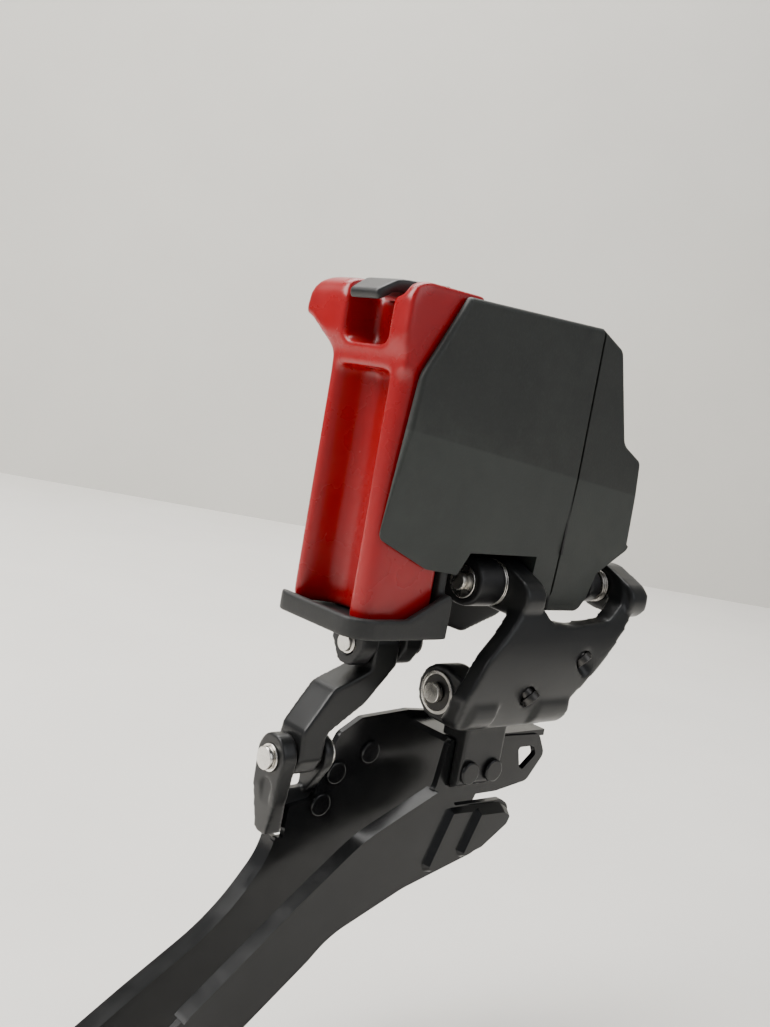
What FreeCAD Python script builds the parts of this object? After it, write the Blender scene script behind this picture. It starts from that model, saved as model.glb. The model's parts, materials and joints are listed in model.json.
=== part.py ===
import FreeCAD, Part
import math
import os

# Wire-free front derailleur with a braze-on mount.
# Millimetres. +X is forward on the bicycle, +Y is inboard (towards the frame), +Z is up.
# The origin is the centre of the braze-on mounting face, so everything lies outboard of it, at negative Y.

V = FreeCAD.Vector
X_AXIS = V(1, 0, 0)
Y_AXIS = V(0, 1, 0)
Z_AXIS = V(0, 0, 1)

doc = FreeCAD.newDocument("front_derailleur")

# ---------------------------------------------------------------- driving dimensions

SIZES = [
    ("wall", 1.6, "wall of the moulded shells"),
    ("drive_face", 29.0, "distance of the drive-side face outboard of the mount face"),
    ("inboard_gap", 8.0, "distance of the housing's inboard face outboard of the mount face"),
    ("seam_x", -3.2, "parting line between the main housing and the front cover"),
    ("bay_x", -31.0, "front wall of the battery bay"),
    ("gasket", 0.5, "thickness of the cover gasket"),
    ("upper_outer_y", -24.0, "upper outer pivot"),
    ("upper_outer_z", -9.2, "upper outer pivot"),
    ("upper_inner_y", -12.5, "upper inner pivot"),
    ("upper_inner_z", -22.9, "upper inner pivot"),
    ("link_lean", 0.5, "inboard offset of the lower pivots from the upper ones"),
    ("link_drop", 19.7, "drop of the lower pivots from the upper ones"),
    ("pin_radius", 2.0, "pivot pins"),
    ("pin_fit", 0.03, "radial running clearance of the pivots"),
    ("open_fit", 0.12, "radial clearance of the lower inner pivot"),
    ("boss_radius", 4.4, "bosses round the pivots"),
    ("plate_thickness", 1.2, "cage plates"),
    ("outer_plate_start", 22.8, "inboard face of the outer cage plate, outboard of the mount face"),
    ("inner_plate_start", 10.8, "inboard face of the inner cage plate, outboard of the mount face"),
    ("block_rear", -46.0, "rear face of the battery block"),
    ("block_front", -31.5, "front face of the battery block"),
    ("block_floor", -16.2, "underside of the battery block"),
    ("block_top", 37.2, "top of the battery block"),
    ("latch_width", 11.0, "battery latch"),
    ("latch_hinge_x", -24.5, "axis of the latch"),
    ("latch_hinge_z", 34.2, "axis of the latch"),
    ("mount_hole_radius", 2.5, "M5 thread of the mount"),
    ("mount_hole_depth", 7.2, "M5 thread of the mount"),
    ("gear_module", 0.8, "module of the gear train"),
    ("motor_radius", 5.5, "drive motor"),
]

sheet = doc.addObject("Spreadsheet::Sheet", "Dimensions")
for row, (alias, value, note) in enumerate(SIZES, 1):
    sheet.set("A%d" % row, note)
    sheet.set("B%d" % row, str(value))
    sheet.setAlias("B%d" % row, alias)
doc.recompute()


def size(alias):
    """A driving dimension, read from the sheet."""
    return float(sheet.get(alias))


def cell(alias):
    """The expression that reads a driving dimension."""
    return "Dimensions." + alias


UPPER_OUTER = (size("upper_outer_y"), size("upper_outer_z"))
UPPER_INNER = (size("upper_inner_y"), size("upper_inner_z"))
LEAN = size("link_lean")
DROP = size("link_drop")
LOWER_OUTER = (UPPER_OUTER[0] + LEAN, UPPER_OUTER[1] - DROP)
LOWER_INNER = (UPPER_INNER[0] + LEAN, UPPER_INNER[1] - DROP)
PIN = size("pin_radius")
FIT = size("pin_fit")
BOSS = size("boss_radius")
SEAM = size("seam_x")
BAY = size("bay_x")
DRIVE = size("drive_face")
INBOARD = size("inboard_gap")
WALL = size("wall")

finished = []


# ---------------------------------------------------------------- drawing helpers

def corners(points):
    """Lines and tangent arcs round a closed outline. A point's third number is its corner radius."""
    runs = []
    for index, point in enumerate(points):
        here = V(point[0], point[1], 0)
        if len(point) < 3:
            runs.append((here, None, here))
            continue
        before = points[index - 1]
        after = points[(index + 1) % len(points)]
        back = (V(before[0], before[1], 0) - here).normalize()
        ahead = (V(after[0], after[1], 0) - here).normalize()
        half = back.getAngle(ahead) / 2
        inward = (back + ahead).normalize()
        reach = point[2] / math.tan(half)
        middle = here + inward * (point[2] / math.sin(half) - point[2])
        runs.append((here + back * reach, middle, here + ahead * reach))
    drawn = []
    for index, (start, middle, end) in enumerate(runs):
        if middle is not None:
            drawn.append(Part.Arc(start, middle, end))
        following = runs[(index + 1) % len(runs)][0]
        after = points[(index + 1) % len(points)]
        side = V(after[0] - points[index][0], after[1] - points[index][1], 0)
        if (following - end).dot(side) < -1e-6:
            raise ValueError("corner radii overlap after point %s" % (points[index],))
        if (following - end).Length > 1e-6:
            drawn.append(Part.LineSegment(end, following))
    return drawn


def ring(centre, radius):
    """A circle in an outline."""
    return [Part.Circle(V(centre[0], centre[1], 0), Z_AXIS, radius)]


def rectangle(x0, y0, x1, y1, radius=None):
    """An upright rectangle, with round corners if a radius is given."""
    points = [(x0, y0), (x1, y0), (x1, y1), (x0, y1)]
    if radius:
        points = [(x, y, radius) for x, y in points]
    return corners(points)


def capsule(first, second, first_radius, second_radius):
    """The outline round two circles, joined by their outer tangents."""
    a = V(first[0], first[1], 0)
    b = V(second[0], second[1], 0)
    along = b - a
    distance = along.Length
    heading = math.atan2(along.y, along.x)
    spread = math.acos((first_radius - second_radius) / distance)

    def at(centre, radius, angle):
        return centre + V(math.cos(angle), math.sin(angle), 0) * radius

    left = heading + spread
    right = heading - spread
    return [
        Part.Arc(at(a, first_radius, left), at(a, first_radius, heading + math.pi), at(a, first_radius, right)),
        Part.LineSegment(at(a, first_radius, right), at(b, second_radius, right)),
        Part.Arc(at(b, second_radius, right), at(b, second_radius, heading), at(b, second_radius, left)),
        Part.LineSegment(at(b, second_radius, left), at(a, first_radius, left)),
    ]


# ---------------------------------------------------------------- PartDesign helpers

PLANES = {"XY": "XY_Plane", "XZ": "XZ_Plane", "YZ": "YZ_Plane"}


def new_body(name):
    """An empty body whose label is its node's name."""
    body = doc.addObject("PartDesign::Body", name)
    body.Label = name
    finished.append(body)
    return body


def sketch(body, plane, name, outlines, start):
    """A sketch on a plane of the body's origin, moved along its normal by the expression start.

    The normal of XZ points outboard (-Y), that of YZ forward and that of XY up.
    """
    drawing = body.newObject("Sketcher::SketchObject", name + "_sketch")
    support = [item for item in body.Origin.OriginFeatures if item.Role == PLANES[plane]][0]
    drawing.AttachmentSupport = [(support, "")]
    drawing.MapMode = "FlatFace"
    for outline in outlines:
        drawing.addGeometry(outline, False)
    drawing.setExpression("AttachmentOffset.Base.z", start)
    return drawing


def pad(body, name, plane, outlines, start, length):
    """Adds material from start, along the plane's normal, for length."""
    feature = body.newObject("PartDesign::Pad", name)
    feature.Profile = sketch(body, plane, name, outlines, str(start))
    feature.setExpression("Length", str(length))
    return feature


def pocket(body, name, plane, outlines, start, length):
    """Removes material from start, along the plane's normal, for length."""
    feature = body.newObject("PartDesign::Pocket", name)
    feature.Profile = sketch(body, plane, name, outlines, str(start))
    feature.Reversed = True
    feature.setExpression("Length", str(length))
    return feature


def trim(body, name, plane, outline, start, length):
    """Removes everything outside the outline."""
    frame = rectangle(-200, -200, 200, 200)
    return pocket(body, name, plane, [frame, outline], start, length)


def bore(body, name, centre, radius, start, length):
    """A round hole along X."""
    return pocket(body, name, "YZ", [ring(centre, radius)], start, length)


def edges_where(feature, accept):
    """Names of the feature's edges that the test accepts, given each edge's middle point."""
    names = []
    for index, edge in enumerate(feature.Shape.Edges, 1):
        middle = edge.valueAt((edge.FirstParameter + edge.LastParameter) / 2)
        if accept(edge, middle):
            names.append("Edge%d" % index)
    return names


def soften(body, name, feature, radius, accept, kind="PartDesign::Fillet"):
    """Rounds (or chamfers) the chosen edges of a feature."""
    doc.recompute()
    names = edges_where(feature, accept)
    rounded = body.newObject(kind, name)
    rounded.Base = (feature, names)
    if kind == "PartDesign::Fillet":
        rounded.Radius = radius
    else:
        rounded.Size = radius
    return rounded


def turned(name, centre, start, profile):
    """A pin turned about X: profile is a list of (length, radius) steps from the rear end."""
    body = new_body(name)
    points = [(start, 0)]
    place = start
    for length, radius in profile:
        points.append((place, radius))
        place += length
        points.append((place, radius))
    points.append((place, 0))
    drawing = sketch(body, "XZ", name, [corners(points)], str(-centre[0]))
    drawing.setExpression("AttachmentOffset.Base.y", str(centre[1]))
    spun = body.newObject("PartDesign::Revolution", name + "_turned")
    spun.Profile = drawing
    spun.ReferenceAxis = (drawing, ["H_Axis"])
    spun.Angle = 360
    return body


def free_part(name, shape):
    """A sub-part made with Part's own functions, where neither a body nor a primitive fits."""
    feature = doc.addObject("Part::Feature", name)
    feature.Label = name
    feature.Shape = shape
    finished.append(feature)
    return feature


def tube(radius, hole, start, length, centre):
    """A washer or bush along X."""
    place = V(start, centre[0], centre[1])
    return Part.makeCylinder(radius, length, place, X_AXIS).cut(Part.makeCylinder(hole, length, place, X_AXIS))


def gear_outline(centre, teeth, phase, first=0, last=None):
    """Outline of a spur gear or of a sector of one, in the YZ plane, with narrow trapezoid teeth."""
    module = size("gear_module")
    pitch = module * teeth / 2
    root = pitch - 1.15 * module
    tip = pitch + 0.85 * module
    step = 2 * math.pi / teeth
    points = []

    def add(radius, angle):
        points.append((centre[0] + radius * math.sin(angle), centre[1] + radius * math.cos(angle)))

    count = teeth if last is None else last
    for index in range(first, count):
        middle = phase + index * step
        add(root, middle - 0.30 * step)
        add(tip, middle - 0.11 * step)
        add(tip, middle + 0.11 * step)
        add(root, middle + 0.30 * step)
    return points


# ---------------------------------------------------------------- housing

HOUSING_SILHOUETTE = [
    (-46.0, -2.1, 1.5), (-43.4, 23.4, 6), (-36.2, 36.4, 1), (SEAM, 37.2), (SEAM, -13.6),
    (-9.0, -13.6, 1), (-9.0, -3.6), (-25.5, -3.6), (-28.6, -9.2, 1), (-39.8, -4.6, 1),
]
COVER_SILHOUETTE = [
    (SEAM, 37.2), (-1.4, 36.4, 4), (3.2, 34.4, 2), (8.9, 18.1, 3), (14.6, 15.4, 1.5), (16.3, -1.2, 1.5),
    (8.6, -6.2, 1), (6.5, -13.6, 1.5), (SEAM, -13.6),
]
BELLY = rectangle(-26.9, -12.4, -17.7, -1.0)
BESIDE_BELLY = rectangle(-17.2, -20.0, 0.0, -3.6)
SECTOR_SWING = rectangle(-18.0, -2.3, -12.9, 1.5)
FOLD_SLOPE = -0.10
FOLD_HEIGHT = 10.8


def shell_section(start):
    """Section of the housing seen from behind: the drive-side face tips inwards below a slanting fold."""
    rise = FOLD_SLOPE * (start - SEAM)
    return corners([
        (-DRIVE, 46.0 + rise), (-DRIVE, FOLD_HEIGHT + rise), (-DRIVE + 1.1, FOLD_HEIGHT - 20.6 + rise),
        (-DRIVE + 4.5, -20.0 + rise), (-INBOARD, -20.0 + rise), (-INBOARD, 46.0 + rise),
    ])


def shell(body, name, start, length, silhouette):
    """A slab with the housing's section, cut to its silhouette."""
    slab = pad(body, name + "_slab", "YZ", [shell_section(start)], start, length)
    slab.UseCustomVector = True
    slab.Direction = V(1, 0, FOLD_SLOPE)
    slab.AlongSketchNormal = True
    return trim(body, name + "_silhouette", "XZ", corners(silhouette), 0, 60)


def main_housing():
    body = new_body("main_housing")
    shell(body, "housing", -48, "48 + " + cell("seam_x"), HOUSING_SILHOUETTE)
    behind_bay = rectangle(-60, -40, BAY, 60)
    pocket(body, "battery_bay", "XZ", [behind_bay], 0, cell("drive_face") + " - 1.1")
    under_bay = rectangle(-33.0, -20.0, -25.4, -3.6)
    pocket(body, "under_bay", "XZ", [under_bay], 0, cell("drive_face") + " - 1.1")
    depth = cell("drive_face") + " - " + cell("inboard_gap") + " - 2 * " + cell("wall")
    start = cell("inboard_gap") + " + " + cell("wall")
    lower = rectangle(BAY + WALL, -2.0, SEAM + 1, 27.5)
    upper = rectangle(-17.0, 27.0, SEAM + 1, 35.4)
    pocket(body, "lower_cavity", "XZ", [lower], start, depth)
    pocket(body, "upper_cavity", "XZ", [upper], start, depth)
    pocket(body, "belly_cavity", "YZ", [BELLY], "-7.4", 10)
    pocket(body, "sector_swing", "YZ", [SECTOR_SWING], "-4.2", 4)
    pocket(body, "belly_side", "YZ", [BESIDE_BELLY], "-12", 20)
    notch = rectangle(-36.0, 31.5, -20.0, 45.0)
    pocket(body, "latch_notch", "XZ", [notch], "12.2", cell("latch_width") + " + 0.6")
    hinge_hole = ring((size("latch_hinge_x"), size("latch_hinge_z")), 1.03)
    pocket(body, "latch_hinge_hole", "XZ", [hinge_hole], "9.5", 18)
    bore(body, "pivot_passage", UPPER_OUTER, 2.6, "-12", 8)
    window = rectangle(-21.8, 0.2, -14.2, 7.8)
    pocket(body, "contact_window", "YZ", [window], "-33", 5)
    ribs = [[(-12.6, 9.0), (-11.0, 9.0), (-11.0, 12.5), (-12.6, 12.5)]]
    for outline in ribs:
        pad(body, "motor_rib", "YZ", [corners(outline)], "-29.8", 20)
    for index, (y, z) in enumerate(COVER_SCREW_PLACES):
        pad(body, "screw_post_%d" % index, "YZ", [ring((y, z), 2.6)], "-12.2", "9")
        bore(body, "screw_hole_%d" % index, (y, z), 0.85, "-11", 9)


COVER_SCREW_PLACES = [(-25.2, 32.9), (-12.0, 32.9), (-10.9, 2.9)]


def front_cover():
    body = new_body("front_cover")
    start = SEAM + size("gasket")
    shell(body, "cover", start, 22, COVER_SILHOUETTE)
    depth = cell("drive_face") + " - " + cell("inboard_gap") + " - 2 * " + cell("wall")
    hollow = [
        (SEAM - 2, 34.9), (1.4, 34.0, 1.5), (7.2, 16.9, 2), (13.0, 13.8, 1), (14.5, -0.6, 1), (8.0, -3.0), (SEAM - 2, -3.0),
    ]
    pocket(body, "cavity", "XZ", [corners(hollow)], cell("inboard_gap") + " + " + cell("wall"), depth)
    pocket(body, "belly_cavity", "YZ", [BELLY], "-6", 9.5)
    pocket(body, "sector_swing", "YZ", [SECTOR_SWING], "-4.2", 3.6)
    pocket(body, "belly_side", "YZ", [BESIDE_BELLY], "-6", 24)
    bore(body, "pivot_passage", UPPER_OUTER, 2.6, 0, 10)
    for index, (y, z) in enumerate(COVER_SCREW_PLACES):
        pad(body, "screw_boss_%d" % index, "YZ", [ring((y, z), 2.6)], start, 3.0)
        bore(body, "screw_hole_%d" % index, (y, z), 1.15, "-6", 20)
        bore(body, "head_recess_%d" % index, (y, z), 1.9, "-0.94", 20)
    button_hole = ring((-18.5, 5.5), 2.3)
    pocket(body, "button_hole", "YZ", [button_hole], 8, 14)
    lens_hole = ring((-18.5, 10.6), 1.03)
    pocket(body, "lens_hole", "YZ", [lens_hole], 8, 14)


def cover_gasket():
    body = new_body("cover_gasket")
    outer = rectangle(-DRIVE + 0.35, -3.0, -INBOARD - 0.35, 36.6)
    inner = rectangle(-DRIVE + 1.5, -1.8, -INBOARD - 1.5, 35.2)
    pad(body, "seal", "YZ", [outer, inner], cell("seam_x"), cell("gasket"))
    pad(body, "belly_seal", "YZ", [rectangle(-27.6, -13.2, -17.4, -2.0)], cell("seam_x"), cell("gasket"))
    pocket(body, "belly_opening", "YZ", [BELLY], "-4", 2)
    pocket(body, "sector_swing", "YZ", [SECTOR_SWING], "-4", 2)
    for index, (y, z) in enumerate(COVER_SCREW_PLACES):
        pad(body, "eye_%d" % index, "YZ", [ring((y, z), 2.8)], cell("seam_x"), cell("gasket"))
        bore(body, "eye_hole_%d" % index, (y, z), 1.15, "-4", 2)


def screw(head_radius, head_length, shank_radius, shank_length, socket):
    """A socket-head screw along +X with its head at the front end, its head's underside at x = 0."""
    shank = Part.makeCylinder(shank_radius, shank_length, V(-shank_length, 0, 0), X_AXIS)
    head = Part.makeCylinder(head_radius, head_length, V(0, 0, 0), X_AXIS)
    rim = [edge for edge in head.Edges if edge.BoundBox.XMin > head_length - 0.01]
    head = head.makeChamfer(0.15 * head_radius, rim)
    hexagon = Part.makePolygon([
        V(head_length * 0.4, socket * math.cos(turn * math.pi / 3), socket * math.sin(turn * math.pi / 3))
        for turn in range(7)
    ])
    drive = Part.Face(hexagon).extrude(X_AXIS * head_length)
    return shank.fuse(head).cut(drive)


def cover_screws():
    pieces = []
    for y, z in COVER_SCREW_PLACES:
        piece = screw(1.7, 1.2, 0.82, 9.0, 0.8)
        piece.translate(V(-0.9, y, z))
        pieces.append(piece)
    free_part("cover_screws", Part.makeCompound(pieces))


# ---------------------------------------------------------------- base bracket

def base_bracket():
    body = new_body("base_bracket")
    wall = [
        (-29.0, -3.9, 1), (-29.0, -19.1, 1), (-21.2, -19.1, 2), (-12.0, -12.5, 3), (12.5, -12.5, 2), (13.0, -4.0, 2),
        (9.5, 10.0, 4), (-11.0, 12.0, 5), (-17.5, -3.9, 2),
    ]
    pad(body, "inboard_wall", "XZ", [corners(wall)], 1.5, 6.2)
    pad(body, "mount_boss", "XZ", [ring((0, 0), 7.5)], 0, 3)
    floor = rectangle(-29.0, -6.6, 12.5, -3.9)
    pad(body, "floor", "XZ", [floor], 5, 11.9)
    rear_lug = capsule(UPPER_OUTER, (-9.0, -8.4), BOSS - 0.2, 3.6)
    front_lug = capsule(UPPER_OUTER, (-9.0, -9.2), BOSS - 1.2, 3.0)
    pad(body, "rear_outer_lug", "YZ", [rear_lug], "-21.6", 6.1)
    pad(body, "front_outer_lug", "YZ", [front_lug], "9.4", 3.1)
    beam = rectangle(-35.0, -19.1, -21.2, -17.8)
    pad(body, "tray_beam", "XZ", [beam], 5, 11.5)
    web = corners([(-17.0, -9.0), (-16.4, -19.0, 3), (-9.0, -21.0, 2), (0.5, -17.5, 3), (4.0, -9.0)])
    pad(body, "inner_web", "XZ", [web], "9.4", 4.8)
    hanger = corners([(-16.6, -18.0), (-16.6, -23.2), (-14.2, -26.8, 2.0), (-10.8, -26.8, 2.0), (-8.4, -23.2),
                      (-8.4, -18.0)])
    pad(body, "rear_inner_lug", "YZ", [hanger], "-35.0", 3.8)
    pad(body, "front_inner_lug", "YZ", [hanger], "-25.0", 3.8)
    bore(body, "outer_pivot_hole", UPPER_OUTER, PIN + FIT, "-30", 60)
    bore(body, "inner_pivot_hole", UPPER_INNER, PIN + FIT, "-40", 30)
    pocket(body, "mount_thread", "XZ", [ring((0, 0), size("mount_hole_radius"))], 0, cell("mount_hole_depth"))
    pocket(body, "support_thread", "XZ", [ring(SUPPORT_PLACE, 1.55)], 0, 12)
    for index, (x, y) in enumerate(TRAY_SCREW_PLACES):
        pocket(body, "tray_screw_hole_%d" % index, "XY", [ring((x, y), 0.85)], "-20", 4)


SUPPORT_PLACE = (-18.0, -10.0)
TRAY_SCREW_PLACES = [(-32.9, -10.6), (-32.9, -14.6)]


def support_bolt():
    body = new_body("support_bolt")
    point = corners([(0, 3.4), (0.9, 3.4, 0.6), (1.5, 2.6), (1.5, -6.0), (0, -6.0)])
    drawing = sketch(body, "XY", "bolt", [point], str(SUPPORT_PLACE[1]))
    drawing.setExpression("AttachmentOffset.Base.x", str(SUPPORT_PLACE[0]))
    drawing.setExpression("AttachmentOffset.Base.y", "-2.0")
    spun = body.newObject("PartDesign::Revolution", "bolt_turned")
    spun.Profile = drawing
    spun.ReferenceAxis = (drawing, ["V_Axis"])
    spun.Angle = 360
    hexagon = [(SUPPORT_PLACE[0] + 0.9 * math.cos(turn * math.pi / 3),
                SUPPORT_PLACE[1] + 0.9 * math.sin(turn * math.pi / 3)) for turn in range(6)]
    pocket(body, "hex_socket", "XZ", [corners(hexagon)], 6.0, 4)


# ---------------------------------------------------------------- battery side

def battery_tray():
    body = new_body("battery_tray")
    floor = corners([(-48.8, -29.8, 4.5), (-30.2, -29.8), (-30.2, -8.2), (-48.8, -8.2, 3.0)])
    pad(body, "floor", "XY", [floor], "-17.8", 1.4)
    rim = corners([(-48.8, -29.8, 4.5), (-30.2, -29.8), (-30.2, -8.2), (-48.8, -8.2, 3.0)])
    inside = corners([(-47.3, -28.3, 3.0), (-28.0, -28.3), (-28.0, -7.0), (-47.3, -7.0)])
    pad(body, "rim", "XY", [rim], "-16.5", 2.0)
    pocket(body, "rim_hollow", "XY", [inside], "-16.4", 6)
    gusset = corners([(-44.0, -17.7), (-29.3, -9.9, 0.8), (-29.3, -17.7)])
    pad(body, "drive_gusset", "XZ", [gusset], "28.3", 1.5)
    front = rectangle(-27.7, -17.8, -8.2, -6.8)
    pad(body, "front_wall", "YZ", [front], "-30.9", 1.6)
    for index, (x, y) in enumerate(TRAY_SCREW_PLACES):
        pocket(body, "screw_hole_%d" % index, "XY", [ring((x, y), 1.05)], "-19", 4)
        pocket(body, "head_recess_%d" % index, "XY", [ring((x, y), 1.75)], "-17.1", 2)


def tray_screws():
    pieces = []
    for x, y in TRAY_SCREW_PLACES:
        piece = screw(1.6, 0.6, 0.82, 2.0, 0.7)
        piece.rotate(V(0, 0, 0), Y_AXIS, -90)
        piece.translate(V(x, y, -17.08))
        pieces.append(piece)
    free_part("tray_screws", Part.makeCompound(pieces))


def battery_block():
    """A tall block with a finger channel down its rear face and a wider head with a slot for the latch."""
    rear = size("block_rear")
    front = size("block_front")
    floor = size("block_floor")
    top = size("block_top")
    neck = top - 11.5
    edge = -28.3 + 1.0
    body = new_body("battery_block")

    # Plan section of the tall part: rear flange, channel, rounded ridge, drive side.
    plan = corners([
        (rear, -9.0, 0.5), (rear, -10.8, 0.5), (rear + 6.2, -13.2, 3.0), (rear + 6.2, -19.6, 3.2),
        (rear, -24.0, 0.6), (rear, edge, 2.6), (front, edge), (front, -9.0),
    ])
    pad(body, "column", "XY", [plan], cell("block_floor"), str(neck - floor + 2.0))
    side = corners([
        (rear, neck - 2.5), (rear, neck - 0.5, 1.5), (rear - 0.8, neck + 2.5, 3), (rear - 0.8, top, 3.2),
        (front, top), (front, neck - 2.5),
    ])
    pad(body, "head", "XZ", [side], "1.2", str(-edge - 1.2))
    undercut = corners([(-9.0, neck - 4.0), (-9.0, neck - 0.5, 3), (-3.0, neck + 4.2, 3), (1.0, neck + 5.4),
                        (1.0, neck - 4.0)])
    pocket(body, "head_undercut", "YZ", [undercut], "-60", 40)
    crown = corners([(-8.0, top + 3), (-8.0, top), (-1.2, top, 4.5), (-1.2, top - 6.5), (3.0, top - 6.5), (3.0, top + 3)])
    pocket(body, "head_crown", "YZ", [crown], "-60", 40)
    slot = corners([(-24.6, top + 2), (-24.6, top - 2.6, 0.8), (-11.2, top - 2.6, 0.8), (-11.2, top + 2)])
    pocket(body, "latch_slot", "YZ", [slot], "-60", 40)
    hollow = corners([(-22.6, neck + 1.2, 2.0), (-11.8, neck + 1.2, 2.5), (-11.8, top + 2), (-22.6, top + 2)])
    pocket(body, "finger_pocket", "YZ", [hollow], "-60", str(60 + rear + 6.0))
    contacts = rectangle(-22.2, -0.2, -13.8, 8.2)
    pocket(body, "contact_recess", "YZ", [contacts], str(front - 1.0), 3)
    foot = body.Tip
    soften(body, "foot_edges", foot, 1.0, lambda line, at: abs(at.z - floor) < 0.01 and at.x < front - 1)


def battery_latch():
    body = new_body("battery_latch")
    hinge = (size("latch_hinge_x"), size("latch_hinge_z"))
    tongue = corners([
        (-27.5, 36.4, 0.6), (-36.0, 37.8, 8), (-45.0, 37.2, 2), (-48.6, 34.8, 0.6), (-48.0, 33.2, 0.4), (-45.4, 35.0, 1),
        (-36.0, 35.3, 3), (-29.6, 34.9), (-29.6, 33.0), (-26.0, 32.4), (-22.6, 32.4, 0.8), (-22.6, 36.2, 1.2),
    ])
    pad(body, "tongue", "XZ", [tongue], "12.5", cell("latch_width"))
    outer = corners([(-50.0, -14.2, 1.0), (-36.0, -12.0, 10), (-20.0, -12.0), (-20.0, -24.0), (-36.0, -24.0, 10),
                     (-50.0, -20.4, 1.0)])
    trim(body, "plan", "XY", outer, 0, 60)
    pocket(body, "hinge_hole", "XZ", [ring(hinge, 1.05)], 0, 40)
    pocket(body, "spring_recess", "XZ", [rectangle(-27.6, 31.0, -21.0, 35.85)], "20.7", 6)


def latch_pin():
    body = new_body("latch_pin")
    hinge = ring((size("latch_hinge_x"), size("latch_hinge_z")), 1.0)
    pad(body, "pin", "XZ", [hinge], "9.7", 16.8)


def wound_wire(radius, wire, pitch, turns):
    """A coil of round wire about Z, swept turn by turn from z = 0."""
    helix = Part.makeLongHelix(pitch, pitch * turns, radius)
    section = Part.Wire(Part.Circle(V(radius, 0, 0), Y_AXIS, wire).toShape())
    return Part.Wire(helix.Edges).makePipeShell([section], True, True)


def coil(radius, wire, pitch, turns, start, centre):
    """A coil about X, from its start."""
    wound = wound_wire(radius, wire, pitch, turns)
    wound.rotate(V(0, 0, 0), Y_AXIS, 90)
    wound.translate(V(start, centre[0], centre[1]))
    return wound


def springs():
    free_part("linkage_spring", coil(2.9, 0.26, 0.57, 3.0, 12.84, UPPER_OUTER))
    button = coil(1.25, 0.16, 0.55, 3.5, 9.2, (-18.5, 5.5))
    free_part("button_spring", button)


def latch_spring():
    """A small coil of round wire about the latch pin, in the latch's slot."""
    wound = wound_wire(1.35, 0.18, 0.42, 3.0)
    wound.rotate(V(0, 0, 0), X_AXIS, 90)
    wound.translate(V(size("latch_hinge_x"), -21.1, size("latch_hinge_z")))
    free_part("latch_spring", wound)


def contacts():
    carrier = new_body("contact_carrier")
    pad(carrier, "plug", "YZ", [rectangle(-21.7, 0.3, -14.3, 7.7, 0.8)], "-31.3", 2.6)
    for index, (y, z) in enumerate(CONTACT_PLACES):
        bore(carrier, "contact_hole_%d" % index, (y, z), 0.6, "-34", 8)
    pieces = []
    for y, z in CONTACT_PLACES:
        pin = Part.makeCylinder(0.59, 3.4, V(-31.9, y, z), X_AXIS)
        dome = [edge for edge in pin.Edges if edge.BoundBox.XMax < -31.8]
        pieces.append(pin.makeFillet(0.35, dome))
    free_part("battery_contacts", Part.makeCompound(pieces))


CONTACT_PLACES = [(-20.0, 2.2), (-16.0, 2.2), (-20.0, 5.8), (-16.0, 5.8)]


# ---------------------------------------------------------------- electronics and controls

def circuit_board():
    body = new_body("circuit_board")
    board = rectangle(-28.4, 2.0, -6.4, 26.5, 0.6)
    pad(body, "board", "XZ", [board], "26.2", 0.9)
    chips = [(-26.0, 18.0, -18.0, 24.5), (-15.0, 17.0, -10.5, 21.5), (-25.5, 5.0, -21.5, 10.0), (-12.0, 6.0, -8.5, 9.5)]
    for index, (x0, z0, x1, z1) in enumerate(chips):
        pad(body, "chip_%d" % index, "XZ", [rectangle(x0, z0, x1, z1)], "25.2", 1.1)


def function_button():
    body = new_body("function_button")
    pad(body, "cap", "YZ", [ring((-18.5, 5.5), 2.2)], 12.3, 4.0)
    pad(body, "collar", "YZ", [ring((-18.5, 5.5), 2.9)], 12.0, 1.0)
    pad(body, "stem", "YZ", [ring((-18.5, 5.5), 0.7)], 9.6, 3.0)


def status_lens():
    body = new_body("status_lens")
    pad(body, "lens", "YZ", [ring((-18.5, 10.6), 1.0)], 13.2, 2.1)


# ---------------------------------------------------------------- drive train

GEAR_ANGLE = 18.5
GEAR_REACH = 18.0
TRAIN_REACH = 10.0
MIDDLE_SHAFT = (
    UPPER_OUTER[0] + GEAR_REACH * math.sin(math.radians(GEAR_ANGLE)),
    UPPER_OUTER[1] + GEAR_REACH * math.cos(math.radians(GEAR_ANGLE)),
)
MOTOR_ANGLE = 15.0
MOTOR_SHAFT = (
    MIDDLE_SHAFT[0] + TRAIN_REACH * math.sin(math.radians(MOTOR_ANGLE)),
    MIDDLE_SHAFT[1] + TRAIN_REACH * math.cos(math.radians(MOTOR_ANGLE)),
)
SECTOR_TEETH = 35
SMALL_TEETH = 10
LARGE_TEETH = 18
MOTOR_TEETH = 7


def toothed(centre, teeth, phase, start, length):
    """A full spur gear along X."""
    points = [V(start, y, z) for y, z in gear_outline(centre, teeth, phase)]
    points.append(points[0])
    return Part.Face(Part.makePolygon(points)).extrude(X_AXIS * length)


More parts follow.
